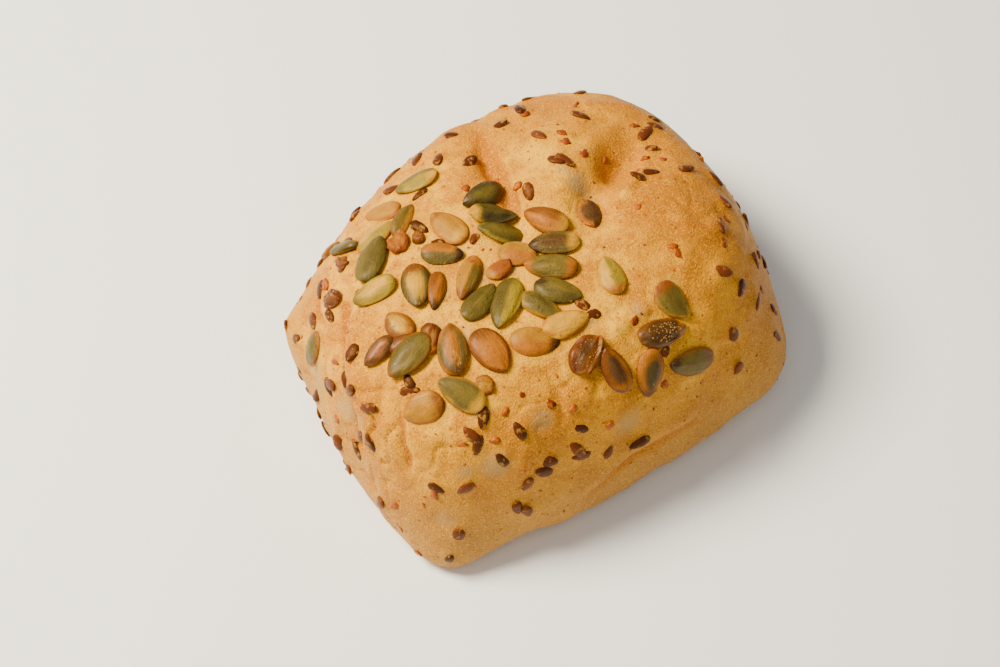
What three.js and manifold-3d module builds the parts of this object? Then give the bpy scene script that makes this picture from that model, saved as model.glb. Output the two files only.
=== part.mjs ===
// A seeded bread roll: one baked piece with hulled pumpkin seeds stuck in its crust.
// Millimetres, +Z up. The origin is on the surface that the roll rests on, under the middle of its box.
import * as THREE from "three";
import { mergeVertices } from "three/addons/utils/BufferGeometryUtils.js";
import Module from "manifold-3d";

const wasm = await Module();
wasm.setup();

// ---- Driving dimensions ----------------------------------------------------------------------------

const HEIGHT = 50; // table to the top of the smooth loaf, before mounds and folds
const CORE_HEIGHT = 23.5; // the core is the point that every direction is measured from
const SQUARENESS = 3.4; // how boxy the loaf is: 2 is an egg, 10 is nearly a block
const BASE_DROP = 4; // how far the round underside would hang below the table, which flattens it
const BASE_EDGE = 2.5; // how softly the wall turns into the flat base
const CRUST_DETAIL = 15; // how finely the crust is divided

// The loaf's four sides. Each faces a bearing, leans back by an angle, and is so far from the core.
const SIDES = [
  { name: "front", bearing: -89, lean: 15, reach: 43.5 },
  { name: "right", bearing: -2, lean: 14, reach: 60 },
  { name: "back", bearing: 100, lean: 19, reach: 48.5 },
  { name: "left", bearing: 178, lean: 8, reach: 56.5 },
];

// The rounding of its four upright corners, by the same three values.
const CORNERS = [
  { name: "front_right", bearing: -45, lean: 9, reach: 76 },
  { name: "back_right", bearing: 49, lean: 9, reach: 80 },
  { name: "back_left", bearing: 139, lean: 9, reach: 69 },
  { name: "front_left", bearing: 225, lean: 9, reach: 86 },
];

// Places on the crust are aims: degrees east (+X) and north (+Y) of straight up, seen from the core,
// so [0, 0] is the middle of the top, and [-90, 0] is halfway up the left wall.

// Soft bulges and hollows: how far out the middle stands, and the radius over which it fades.
const MOUNDS = [
  { name: "between_the_folds", aim: [26, 32], height: 2.5, radius: 15 },
  { name: "right_cheek", aim: [56, -14], height: 2, radius: 20 },
  { name: "back_left_brow", aim: [-4, 60], height: 2.5, radius: 12 },
  { name: "left_lobe", aim: [-66, -6], height: 2.5, radius: 11 },
  { name: "left_ear", aim: [-84, 44], height: 5.5, radius: 11 },
  { name: "front_toe", aim: [-86, -72], height: 8, radius: 10 },
  { name: "right_toe", aim: [84, -62], height: 5, radius: 14 },
  { name: "seed_saucer", aim: [-22, -4], height: -1.5, radius: 16 },
  { name: "back_dimple", aim: [54, 19], height: -3.5, radius: 6 },
];

// Folds in the dough: a valley along a line of aims, its depth, and the width over which it fades.
const FOLDS = [
  { name: "back_left", line: [[9, 50], [7, 40], [6, 30], [0, 14]], depth: 3.5, width: 4 },
  { name: "back_right", line: [[58, 20], [48, 16], [41, 12], [35, 2]], depth: 4.5, width: 5 },
  {
    name: "left_flap",
    line: [[-67, 18], [-72, 3], [-78, -4], [-82, -14], [-92, -26]],
    depth: 2.5,
    width: 3.5,
  },
  { name: "front_left", line: [[-70, -28], [-72, -34], [-73, -42]], depth: 1.8, width: 2.5 },
  { name: "front_hem", line: [[-20, -104], [0, -102], [24, -98], [50, -88]], depth: 1.2, width: 3 },
];

// The pumpkin seeds: where the middle of each lies, the aim its point is turned to, its length and width.
// A seed is half sunk and lies flat unless it has a sunk share, or a tilt that raises its left side.
// Seeds that lie on top of others come first, and a later one gives way where they meet.
const SEED_THICKNESS = 2.4;
const SEED_POINTEDNESS = 0.22; // how much narrower the seed is towards its tip than towards its round end
const SEED_CLEARANCE = 0.3; // left all round each seed, in its pocket in the crust and against other seeds
const SEED_SUNK = 0.5; // share of the thickness below the crust
const SEED_FOOTING = 5; // how many degrees of crust to each side a seed lies across
const SEED_ROUND = [8, 6]; // how many facets go round a seed, and how many from end to end
const SEEDS = [
  { kind: "green", at: [-52, 27], tip: [-46, 34], long: 13, wide: 6.5, sunk: 0.15 },
  { kind: "green", at: [-8, 15], tip: [-18, 20], long: 12.5, wide: 6, sunk: 0.1 },
  { kind: "green", at: [-57, -17], tip: [-64, -19], long: 13, wide: 7, sunk: 0.1 },
  { kind: "green", at: [3, -17], tip: [-6, -11], long: 12.5, wide: 6, sunk: 0.3 },
  { kind: "green", at: [-1, -29], tip: [6, -35], long: 11.5, wide: 6, sunk: 0.3 },
  { kind: "green", at: [-11, -31], tip: [-6, -39], long: 11.5, wide: 6, sunk: 0.4 },
  { kind: "green", at: [-25, -22], tip: [-16, -13], long: 14, wide: 6.5, sunk: 0.3 },
  { kind: "green", at: [-34, -15], tip: [-27, -12], long: 11.5, wide: 5.5, sunk: 0.3 },
  { kind: "green", at: [-49, -38], tip: [-53, -30], long: 12, wide: 6.5, sunk: 0.4 },
  { kind: "green", at: [37, -45], tip: [39, -53], long: 10, wide: 7, sunk: 0.7 },
  { kind: "green", at: [37, -66], tip: [26, -66], long: 13, wide: 6.5 },
  { kind: "green", at: [-83, 21], tip: [-89, 22], long: 10.5, wide: 5.5 },
  { kind: "dark_green", at: [-4, 34], tip: [-14, 33], long: 11.5, wide: 5.5, sunk: 0.3, tilt: -15 },
  { kind: "dark_green", at: [-6, 25], tip: [4, 23], long: 11.5, wide: 5, sunk: 0.35, tilt: 20 },
  { kind: "dark_green", at: [-55, 43], tip: [-60, 49], long: 10.5, wide: 4.5, sunk: 0.4, tilt: 40 },
  { kind: "pale_green", at: [-21, 52], tip: [-28, 53], long: 11, wide: 6 },
  { kind: "pale_green", at: [-57, 13], tip: [-64, 13], long: 11, wide: 6, sunk: 0.3 },
  { kind: "pale_green", at: [-46, 38], tip: [-40, 40], long: 11, wide: 6, sunk: 0.6 },
  { kind: "pale_green", at: [23, -31], tip: [25, -23], long: 10, wide: 6, sunk: 0.7 },
  { kind: "kernel", at: [-6, -42], tip: [5, -43], long: 11.5, wide: 6, sunk: 0.3 },
  { kind: "kernel", at: [-38, 48], tip: [-43, 51], long: 9.5, wide: 5.5, sunk: 0.6 },
  { kind: "kernel", at: [-26, 27], tip: [-27, 35], long: 11, wide: 6.5, sunk: 0.5 },
  { kind: "patched", at: [11, -6], tip: [1, -1], long: 12, wide: 6, sunk: 0.3 },
  { kind: "patched", at: [-48, 6], tip: [-51, -5], long: 12, wide: 6.5, sunk: 0.3 },
  { kind: "patched", at: [-47, -25], tip: [-45, -15], long: 13, wide: 6.5, sunk: 0.2 },
  { kind: "patched", at: [-35, 16], tip: [-30, 12], long: 10, wide: 5.5 },
  { kind: "patched", at: [18, -67], tip: [14, -75], long: 11.5, wide: 6.5, sunk: 0.35 },
  { kind: "patched", at: [-56, -5], tip: [-57, 2], long: 8.5, wide: 6 },
  { kind: "toasted", at: [-37, -34], tip: [-35, -42], long: 12, wide: 7.5, sunk: 0.4 },
  { kind: "toasted", at: [-59, -33], tip: [-65, -30], long: 10, wide: 7, sunk: 0.6 },
  { kind: "toasted", at: [14, 7], tip: [9, 17], long: 11.5, wide: 6, sunk: 0.35 },
  { kind: "toasted", at: [-21, -41], tip: [-12, -46], long: 11.5, wide: 6.5, sunk: 0.55 },
  { kind: "toasted", at: [-33, -1], tip: [-40, -10], long: 12.5, wide: 5, sunk: 0.3 },
  { kind: "toasted", at: [-36, 38], tip: [-31, 42], long: 10, wide: 4.5, sunk: 0.4, tilt: 35 },
  { kind: "toasted", at: [-7, -1], tip: [-1, -6], long: 9, wide: 6.5, sunk: 0.6 },
  { kind: "toasted", at: [-18, -4], tip: [-13, -3], long: 8.5, wide: 4.5, sunk: 0.4 },
  { kind: "toasted", at: [-44, 0], tip: [-48, -9], long: 10.5, wide: 4.5, sunk: 0.4, tilt: -30 },
  { kind: "toasted", at: [-43, 29], tip: [-40, 32], long: 6, wide: 5, sunk: 0.3 },
  { kind: "toasted", at: [-51, -17], tip: [-53, -22], long: 7.5, wide: 5, sunk: 0.4 },
  { kind: "toasted", at: [-43, -41], tip: [-46, -39], long: 5.5, wide: 4.5, sunk: 0.6 },
  { kind: "toasted", at: [-59, 53], tip: [-63, 57], long: 8.5, wide: 4.5, sunk: 0.6, tilt: 40 },
  { kind: "brown", at: [4, -62], tip: [3, -54], long: 11.5, wide: 6, sunk: 0.25 },
  { kind: "brown", at: [-4, -54], tip: [5, -50], long: 10.5, wide: 6.5, sunk: 0.4 },
  { kind: "brown", at: [28, -55], tip: [38, -54], long: 12.5, wide: 6, sunk: 0.4 },
  { kind: "brown", at: [36, 1], tip: [32, -6], long: 8.5, wide: 5.5, sunk: 0 },
  { kind: "brown", at: [-62, -9], tip: [-66, -10], long: 9, wide: 4.5, sunk: 0.4 },
  { kind: "brown", at: [-57, -12], tip: [-53, -12], long: 7, wide: 5, sunk: 0.5 },
  { kind: "brown", at: [-37, 28], tip: [-36, 31], long: 4, wide: 3 },
  { kind: "brown", at: [-58, 36], tip: [-57, 32], long: 5, wide: 3, sunk: 0.6 },
  { kind: "brown", at: [-67, 25], tip: [-65, 22], long: 5.5, wide: 4, sunk: 0.4 },
];
const SEED_COLOURS = {
  green: 0x85803a,
  dark_green: 0x5f5622,
  pale_green: 0xbfa95c,
  kernel: 0xd9b272,
  patched: 0x9a7a44,
  toasted: 0xbf7a35,
  brown: 0x6b3a1c,
};

// ---- The crust -------------------------------------------------------------------------------------

const CORE = new THREE.Vector3(0, 0, CORE_HEIGHT);

function facing({ bearing, lean }) {
  const upright = THREE.MathUtils.degToRad(bearing);
  const rise = THREE.MathUtils.degToRad(lean);
  return new THREE.Vector3(
    Math.cos(rise) * Math.cos(upright),
    Math.cos(rise) * Math.sin(upright),
    Math.sin(rise),
  );
}

const PLANES = [
  ...[...SIDES, ...CORNERS].map((wall) => ({ normal: facing(wall), reach: wall.reach })),
  { normal: new THREE.Vector3(0, 0, 1), reach: HEIGHT - CORE_HEIGHT },
  { normal: new THREE.Vector3(0, 0, -1), reach: CORE_HEIGHT + BASE_DROP },
];

function aimRay([east, north]) {
  const tilt = THREE.MathUtils.degToRad(Math.hypot(east, north));
  const bearing = Math.atan2(north, east);
  return new THREE.Vector3(
    Math.sin(tilt) * Math.cos(bearing),
    Math.sin(tilt) * Math.sin(bearing),
    Math.cos(tilt),
  );
}

// The point where a ray from the core leaves the smooth loaf, before its mounds and folds.
function loafPoint(ray) {
  const push = PLANES.reduce(
    (sum, { normal, reach }) => sum + Math.max(0, ray.dot(normal) / reach) ** SQUARENESS,
    0,
  );
  return ray.clone().multiplyScalar(push ** (-1 / SQUARENESS)).add(CORE);
}

const fade = (distance, reach) => Math.exp(-((distance / reach) ** 2));

const mounds = MOUNDS.map((mound) => ({ ...mound, centre: loafPoint(aimRay(mound.aim)) }));
const folds = FOLDS.map((fold) => ({ ...fold, path: fold.line.map((aim) => loafPoint(aimRay(aim))) }));

// How far a point of the loaf is from a fold's line.
function distanceTo(path, point) {
  const nearest = new THREE.Vector3();
  const stretch = new THREE.Line3();
  const distances = path.slice(1).map((end, i) => {
    stretch.set(path[i], end).closestPointToPoint(point, true, nearest);
    return nearest.distanceTo(point);
  });
  return Math.min(...distances);
}

// The point where a ray from the core leaves the crust, which is flat where it meets the table.
function crustPoint(ray) {
  const point = loafPoint(ray);
  const rise = mounds.reduce((sum, m) => sum + m.height * fade(point.distanceTo(m.centre), m.radius), 0);
  const sink = folds.reduce((sum, f) => sum + f.depth * fade(distanceTo(f.path, point), f.width), 0);
  point.addScaledVector(ray, rise - sink);
  const turning = Math.max(0, 1 - Math.abs(point.z) / BASE_EDGE);
  point.z = Math.max(point.z, 0) + (BASE_EDGE * turning ** 2) / 4;
  return point;
}

function crustGeometry() {
  const ball = new THREE.IcosahedronGeometry(1, CRUST_DETAIL);
  ball.deleteAttribute("normal");
  ball.deleteAttribute("uv");
  const geometry = mergeVertices(ball, 1e-5);
  const position = geometry.getAttribute("position");
  const ray = new THREE.Vector3();
  for (let i = 0; i < position.count; i += 1) {
    ray.fromBufferAttribute(position, i).normalize();
    position.setXYZ(i, ...crustPoint(ray).toArray());
  }
  geometry.computeVertexNormals();
  return geometry;
}

// ---- The seeds -------------------------------------------------------------------------------------

// The way that the crust faces at an aim, taken over a few degrees so that a seed lies across small dips.
function crustNormal([east, north]) {
  const steps = [[1, 0], [-1, 0], [0, 1], [0, -1]];
  const [right, left, back, front] = steps.map(([x, y]) =>
    crustPoint(aimRay([east + x * SEED_FOOTING, north + y * SEED_FOOTING])),
  );
  return right.sub(left).cross(back.sub(front)).normalize();
}

// Where a seed lies: X runs to its pointed end, Y to its left side and Z out of the crust.
function seedPlace({ at, tip, sunk = SEED_SUNK, tilt = 0 }) {
  const middle = crustPoint(aimRay(at));
  const out = crustNormal(at);
  const along = crustPoint(aimRay(tip)).sub(middle).projectOnPlane(out).normalize();
  const left = out.clone().cross(along);
  middle.addScaledVector(out, SEED_THICKNESS * (0.5 - sunk));
  return new THREE.Matrix4()
    .makeBasis(along, left, out)
    .multiply(new THREE.Matrix4().makeRotationX(THREE.MathUtils.degToRad(tilt)))
    .setPosition(middle);
}

// A flattened egg, rounder at one end, grown by a clearance when it is used to cut a pocket.
function seedGeometry(seed, clearance = 0) {
  const geometry = new THREE.SphereGeometry(1, ...SEED_ROUND).rotateZ(-Math.PI / 2);
  const position = geometry.getAttribute("position");
  const half = [seed.long, seed.wide, SEED_THICKNESS].map((size) => size / 2 + clearance);
  for (let i = 0; i < position.count; i += 1) {
    const x = position.getX(i);
    const taper = 1 - SEED_POINTEDNESS * x;
    position.setXYZ(i, x * half[0], position.getY(i) * half[1] * taper, position.getZ(i) * half[2]);
  }
  geometry.applyMatrix4(seedPlace(seed));
  return geometry;
}

// ---- Joining and cutting ---------------------------------------------------------------------------

function toSolid(geometry) {
  const bare = geometry.clone();
  bare.deleteAttribute("normal");
  bare.deleteAttribute("uv");
  const merged = mergeVertices(bare, 1e-4);
  return new wasm.Manifold(
    new wasm.Mesh({
      numProp: 3,
      vertProperties: new Float32Array(merged.getAttribute("position").array),
      triVerts: new Uint32Array(merged.getIndex().array),
    }),
  );
}

function toGeometry(solid) {
  const mesh = solid.getMesh();
  const geometry = new THREE.BufferGeometry();
  geometry.setAttribute("position", new THREE.BufferAttribute(new Float32Array(mesh.vertProperties), 3));
  geometry.setIndex(new THREE.BufferAttribute(new Uint32Array(mesh.triVerts), 1));
  geometry.computeVertexNormals();
  return geometry;
}

// The largest body of a solid, so that a cut leaves no crumbs behind.
function mainBody(solid) {
  return solid.decompose().reduce((largest, body) => (body.volume() > largest.volume() ? body : largest));
}

const part = new THREE.Group();

function addPiece(name, solid, material) {
  const piece = new THREE.Mesh(toGeometry(solid), material);
  piece.name = name;
  part.add(piece);
}

const crust = new THREE.MeshStandardMaterial({
  name: "crust",
  color: 0xd9a45c,
  roughness: 0.75,
  metalness: 0,
});
const skins = Object.fromEntries(
  Object.entries(SEED_COLOURS).map(([kind, color]) => [
    kind,
    new THREE.MeshStandardMaterial({ name: kind, color, roughness: 0.45, metalness: 0 }),
  ]),
);

const pockets = SEEDS.map((seed) => toSolid(seedGeometry(seed, SEED_CLEARANCE)));
addPiece("roll", mainBody(toSolid(crustGeometry()).subtract(wasm.Manifold.union(pockets))), crust);

SEEDS.forEach((seed, i) => {
  const whole = toSolid(seedGeometry(seed));
  const room = i > 0 ? whole.subtract(wasm.Manifold.union(pockets.slice(0, i))) : whole;
  addPiece(`${seed.kind}_seed_${String(i + 1).padStart(2, "0")}`, mainBody(room), skins[seed.kind]);
});

const box = new THREE.Box3().setFromObject(part);
const middle = box.getCenter(new THREE.Vector3());
part.position.set(-middle.x, -middle.y, 0);

export default part;
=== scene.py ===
# %% [markdown]
# # A seeded bread roll
# A square roll of light wheat dough, proved until it domed and baked until its crust turned golden.
# Pumpkin seeds lie on its crown, and flax seeds and red pepper flakes are kneaded into the dough.
# The first cell loads the measured model. Every piece made here is placed by it, in metres.

# %% Load the measured model
import math
import random

import bmesh
import bpy
import numpy as np
from mathutils import Matrix, Vector, noise
from mathutils.bvhtree import BVHTree
from mathutils.kdtree import KDTree


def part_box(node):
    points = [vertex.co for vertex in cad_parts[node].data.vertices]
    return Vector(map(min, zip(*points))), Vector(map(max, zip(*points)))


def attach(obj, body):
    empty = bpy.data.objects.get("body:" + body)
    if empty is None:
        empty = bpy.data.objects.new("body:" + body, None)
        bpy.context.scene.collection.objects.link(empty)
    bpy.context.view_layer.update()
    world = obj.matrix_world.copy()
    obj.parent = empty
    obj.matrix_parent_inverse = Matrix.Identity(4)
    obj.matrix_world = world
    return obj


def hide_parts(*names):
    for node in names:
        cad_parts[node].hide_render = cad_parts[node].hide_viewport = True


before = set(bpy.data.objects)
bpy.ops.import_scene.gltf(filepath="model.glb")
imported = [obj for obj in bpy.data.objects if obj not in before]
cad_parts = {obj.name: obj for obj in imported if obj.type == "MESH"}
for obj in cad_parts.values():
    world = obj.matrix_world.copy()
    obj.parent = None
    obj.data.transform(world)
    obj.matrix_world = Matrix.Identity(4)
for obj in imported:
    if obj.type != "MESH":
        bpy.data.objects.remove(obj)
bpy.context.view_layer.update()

MM = 0.001

# %% [markdown]
# ## Aims
# A loaf has no straight edges to measure from, so places on its crust are given as aims: how many
# degrees east (+X) and north (+Y) of straight up they lie, seen from a point in the middle of the crumb.
# A ray along an aim leaves the roll at one place only, because the roll has no overhangs.

# %% Aims on the crust
roll_low, roll_high = (Vector(corner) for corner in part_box("roll"))
CORE = (roll_low + roll_high) / 2 + Vector((-2.65, -4.05, -2.18)) * MM


def aim_ray(east, north):
    tilt = math.radians(math.hypot(east, north))
    bearing = math.atan2(north, east)
    return Vector((math.sin(tilt) * math.cos(bearing), math.sin(tilt) * math.sin(bearing), math.cos(tilt)))


def surface_of(mesh):
    """A search tree of a mesh whose doubled vertices have been merged."""
    bm = bmesh.new()
    bm.from_mesh(mesh)
    bmesh.ops.remove_doubles(bm, verts=bm.verts, dist=1e-6)
    tree = BVHTree.FromBMesh(bm)
    bm.free()
    return tree


def at_aim(surface, east, north):
    """The place and outward direction where the ray of an aim leaves a surface."""
    place, normal, _, _ = surface.ray_cast(CORE, aim_ray(east, north))
    return place, normal


roll_surface = surface_of(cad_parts["roll"].data)
crown, _ = at_aim(roll_surface, 0, 0)
print("height of the crown above the core, mm:", round((crown - CORE).length / MM, 1))

# %% [markdown]
# ## Colours and nodes
# Colours are written as sRGB hex values, as a painter's chart gives them, and turned to the linear
# values that Blender mixes. One small function adds a node, sets it and links its inputs, so that
# each material below reads as a short list of what lies over what.

# %% Helpers for materials


def linear(hex_colour):
    parts = [int(hex_colour[i : i + 2], 16) / 255 for i in (1, 3, 5)]
    return tuple(p / 12.92 if p <= 0.04045 else ((p + 0.055) / 1.055) ** 2.4 for p in parts) + (1.0,)


def add_node(tree, kind, inputs=None, **settings):
    """Adds a node of a kind, with its settings, and sets or links its inputs by name or number."""
    node = tree.nodes.new(kind)
    for name, value in settings.items():
        setattr(node, name, value)
    for name, value in (inputs or {}).items():
        if isinstance(value, bpy.types.NodeSocket):
            tree.links.new(value, node.inputs[name])
        else:
            node.inputs[name].default_value = value
    return node


def new_material(name):
    material = bpy.data.materials.new(name)
    material.use_nodes = True
    tree = material.node_tree
    return material, tree, tree.nodes["Principled BSDF"]


def blend_colour(tree, share, below, above):
    """Lays one colour over another, by a share from 0 to 1."""
    node = add_node(tree, "ShaderNodeMix", data_type="RGBA")
    for name, value in (("Factor_Float", share), ("A_Color", below), ("B_Color", above)):
        socket = next(s for s in node.inputs if s.identifier == name)
        if isinstance(value, bpy.types.NodeSocket):
            tree.links.new(value, socket)
        else:
            socket.default_value = value
    return next(s for s in node.outputs if s.identifier == "Result_Color")


def noise_at(tree, place, size_mm, detail=3.0, roughness=0.55):
    """Noise whose blotches are about size_mm across, where place is in metres."""
    return add_node(
        tree,
        "ShaderNodeTexNoise",
        {"Vector": place, "Scale": 1 / (size_mm * MM), "Detail": detail, "Roughness": roughness},
    ).outputs["Fac"]


def between(tree, value, low, high):
    """0 where a value is low, 1 where it is high, and a smooth step between."""
    return add_node(
        tree,
        "ShaderNodeMapRange",
        {"Value": value, "From Min": low, "From Max": high},
        interpolation_type="SMOOTHSTEP",
    ).outputs["Result"]


def calculate(tree, operation, first, second=0.0):
    return add_node(tree, "ShaderNodeMath", {0: first, 1: second}, operation=operation).outputs["Value"]


def thin_coat(tree, below, share, strength, hex_colour):
    """Lays one plain colour over the rest, thinned to a strength from 0 to 1."""
    return blend_colour(tree, calculate(tree, "MULTIPLY", share, strength), below, linear(hex_colour))


def bump(tree, height, depth_mm, below=None):
    inputs = {"Height": height, "Strength": 1.0, "Distance": depth_mm * MM}
    if below is not None:
        inputs["Normal"] = below
    return add_node(tree, "ShaderNodeBump", inputs).outputs["Normal"]


# %% [markdown]
# ## Putting a mesh in the scene
# Each piece is shaped in a bmesh where it lies, so its object stays at the origin like the measured
# nodes. It rides on the roll's one body and takes the material it is given.

# %% Helper for pieces


def add_piece(name, bm, material, replaces=()):
    bmesh.ops.recalc_face_normals(bm, faces=bm.faces)
    mesh = bpy.data.meshes.new(name)
    bm.to_mesh(mesh)
    bm.free()
    mesh.shade_smooth()
    mesh.materials.append(material)
    piece = bpy.data.objects.new(name, mesh)
    bpy.context.scene.collection.objects.link(piece)
    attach(piece, "root")
    if replaces:
        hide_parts(*replaces)
    return piece


# %% [markdown]
# ## Pumpkin seeds
# A hulled pumpkin seed is two seed leaves pressed together in a thin green skin: a flat egg with a
# seam round its rim and a small point where the root was. Baking dries it, so its faces pucker
# about a low keel, it bends, and where the skin rubs off a cream or orange kernel shows.
# A scaled ball would be too regular. So a ball is drawn out into that egg by one formula, and each
# seed then bends and puckers in its own way. The measured seed says where it lies and which way it points.

# %% Where a measured seed lies


def seed_axes(node):
    """The middle, half sizes and axes of a seed: along to its point, across, and out of the crust."""
    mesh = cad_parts[node].data
    corners = np.array([v.co for v in mesh.vertices])
    faces = [corners[list(p.vertices)] for p in mesh.polygons]
    centres = np.array([f.mean(axis=0) for f in faces])
    areas = np.array([np.linalg.norm(np.cross(f[1] - f[0], f[2] - f[0])) / 2 for f in faces])
    mean = (centres * areas[:, None]).sum(axis=0) / areas.sum()
    spread = ((centres - mean) * areas[:, None]).T @ (centres - mean)
    axes = np.linalg.eigh(spread)[1]
    out, along = axes[:, 0], axes[:, 2]
    if out @ (mean - np.array(CORE)) < 0:
        out = -out
    across = np.cross(out, along)
    local = (corners - mean) @ np.stack([along, across, out]).T
    ahead = np.abs(local[local[:, 0] > 0.25 * local[:, 0].max()][:, 1]).mean()
    behind = np.abs(local[local[:, 0] < 0.25 * local[:, 0].min()][:, 1]).mean()
    if ahead > behind:
        along, across = -along, -across
        local = local * np.array([-1, -1, 1])
    turn = np.stack([along, across, out])
    low, high = local.min(axis=0), local.max(axis=0)
    middle = mean + ((low + high) / 2) @ turn
    return Vector(middle), (high - low) / 2, Matrix(turn.tolist()).transposed()


seed_nodes = sorted(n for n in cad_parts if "_seed_" in n)
print("pumpkin seeds to make:", len(seed_nodes))

# %% Shape of one seed
SEED_THICKNESS = 2.4 * MM
SEED_TAPER = 0.16
SEED_RIDGE = 0.07
SEED_PLUMP = 1.12


def step(low, high, value):
    share = min(1.0, max(0.0, (value - low) / (high - low)))
    return share * share * (3 - 2 * share)


def seed_shape(bm, place, half, turn, chance, tones, bend=0.0, curl=0.0, broken=0.0, lumps=0.12):
    """Draws a ball out into a seed. bend lifts both ends and curl rolls up one side, both in mm."""
    grain = bm.verts.layers.float_vector.new("grain")
    tone = bm.verts.layers.float_color.new("tone")
    verts = bmesh.ops.create_uvsphere(bm, u_segments=36, v_segments=28, radius=1.0)["verts"]
    bmesh.ops.rotate(bm, verts=verts, cent=(0, 0, 0), matrix=Matrix.Rotation(math.pi / 2, 3, "Y"))
    own = Vector((chance.uniform(-50, 50), chance.uniform(-50, 50), chance.uniform(-50, 50)))
    sway = chance.uniform(-0.4, 0.4)
    keel = chance.uniform(0.0, 0.16)
    beak = chance.uniform(1.05, 1.3)
    for v in verts:
        x, y, z = v.co
        rim = math.sqrt(max(0.0, 1 - x * x))
        side = y / rim if rim > 1e-4 else 0.0
        lift = z / rim if rim > 1e-4 else 0.0
        wide = rim ** (beak if x > 0 else 0.94) * (1 - SEED_TAPER * x)
        ridge = 1 + SEED_RIDGE * math.exp(-((lift / 0.2) ** 2))
        thick = rim**0.85 * (1 - 0.1 * x) * SEED_PLUMP * (1 + keel * (math.exp(-((side / 0.3) ** 2)) - 0.5))
        wobble = noise.noise(Vector((x, y, z)) * 1.6 + own)
        pucker = noise.noise(Vector((x * 1.5, y * 6, z * 3)) + own)
        off_line = sway * (1 - x * x) * 0.5 * MM
        spot = Vector((x * half[0], side * wide * half[1] * ridge + off_line, lift * thick * half[2]))
        spot.z += (bend * x * x - curl * side * abs(side)) * MM
        spot += Vector((0.4 * wobble, 0.6 * wobble, wobble * 0.8 + pucker * 0.4)) * lumps * 2 * MM
        v[tone] = tone_at(tones, x + 0.22 * wobble + 0.08 * pucker, y + 0.18 * wobble, wobble)
        v[grain] = Vector((x, side * wide, own.x))
        v.co = spot
    if broken:
        cut = bmesh.ops.bisect_plane(
            bm,
            geom=bm.verts[:] + bm.edges[:] + bm.faces[:],
            plane_co=(half[0] * (1 - 2 * broken), 0, 0),
            plane_no=(1, chance.uniform(-0.5, 0.5), 0.3),
            clear_outer=True,
        )
        rim_edges = [e for e in cut["geom_cut"] if isinstance(e, bmesh.types.BMEdge)]
        bmesh.ops.holes_fill(bm, edges=rim_edges, sides=0)
        bmesh.ops.triangulate(bm, faces=[f for f in bm.faces if len(f.verts) > 4])
    bmesh.ops.transform(bm, matrix=Matrix.Translation(place) @ turn.to_4x4(), verts=bm.verts)


# %% [markdown]
# No two baked seeds have the same colour. Each is described here in words: the colour of its skin,
# then the colours that lie over it and where. The point is the end where the root was, and the heel
# is the round end. Left and right are as seen from outside the roll, looking towards the point.

# %% Colours of each seed
TONES = {
    "olive": "#60501a",
    "moss": "#4c4014",
    "dark_olive": "#3c3418",
    "grey_green": "#52461e",
    "pale_green": "#8e7414",
    "cream": "#c48e16",
    "tan": "#a26e0a",
    "orange": "#9e5a06",
    "toast": "#743e06",
    "pink": "#8a440e",
    "red_brown": "#5e2a08",
    "brown": "#4a2e10",
    "dark_brown": "#2c1a0e",
}
SEED_LOOKS = {
    1: "moss, olive left",
    2: "moss, olive middle, pale_green rim",
    3: "olive, moss right, toast rim",
    4: "olive, orange heel, toast rim, orange point",
    5: "olive, dark_brown heel, moss right",
    6: "olive, moss middle, tan rim",
    7: "olive, pale_green left, moss right",
    8: "olive, moss left",
    9: "grey_green, olive middle, tan rim, cream heel",
    10: "olive, tan rim, pink heel",
    11: "olive, toast heel, toast rim, dark_brown point",
    12: "olive, orange rim, toast point",
    13: "dark_olive, brown rim, olive middle, brown heel",
    14: "moss, dark_olive right, cream heel",
    15: "olive, dark_olive rim",
    16: "pale_green, cream heel, olive point, olive right",
    17: "pale_green, cream middle, olive point",
    18: "pale_green, cream left, tan rim",
    19: "pale_green, cream left, pink heel, tan rim",
    20: "cream, orange rim",
    21: "tan, orange rim",
    22: "tan, cream heel, toast point, orange rim",
    23: "grey_green, brown middle, cream heel, dark_brown point",
    24: "grey_green, cream middle, brown rim, toast heel",
    25: "grey_green, orange middle, brown heel, toast point, orange rim",
    26: "orange, grey_green right, dark_brown point",
    27: "orange, dark_olive middle, orange rim, red_brown point",
    28: "orange, toast left, cream middle, toast rim",
    29: "orange, toast heel, red_brown rim",
    30: "tan, orange rim, toast heel",
    31: "orange, toast right, toast rim, tan heel",
    32: "tan, orange right, dark_brown point",
    33: "tan, olive left, orange heel, toast point",
    34: "olive, tan right, toast rim",
    35: "orange, tan left, tan heel",
    36: "pink, tan heel, red_brown point",
    37: "toast, olive left, orange middle, dark_brown point",
    38: "pink, orange middle",
    39: "toast, orange point, red_brown heel",
    40: "orange, tan middle, toast rim",
    41: "tan, toast rim",
    42: "toast, orange right, orange heel, brown middle, red_brown rim",
    43: "red_brown, brown middle, toast point, toast right",
    44: "brown, toast rim, orange point",
    45: "orange, brown middle, brown left",
    46: "brown, toast rim, pink middle",
    47: "red_brown, toast middle",
    48: "toast, pink middle, brown rim",
    49: "toast, dark_brown rim",
    50: "red_brown, toast middle",
}
print("seeds described:", len(SEED_LOOKS))

# %% From words to colours
PLACES = {
    "point": lambda x, y: step(0.5, 0.85, x),
    "heel": lambda x, y: step(0.4, 0.75, -x),
    "left": lambda x, y: step(-0.05, 0.2, y),
    "right": lambda x, y: step(-0.05, 0.2, -y),
    "rim": lambda x, y: step(0.8, 1.0, math.hypot(x, y)) * 0.85,
    "middle": lambda x, y: step(0.35, 0.65, 1 - math.hypot(0.75 * x, 0.9 * y)),
}


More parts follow.
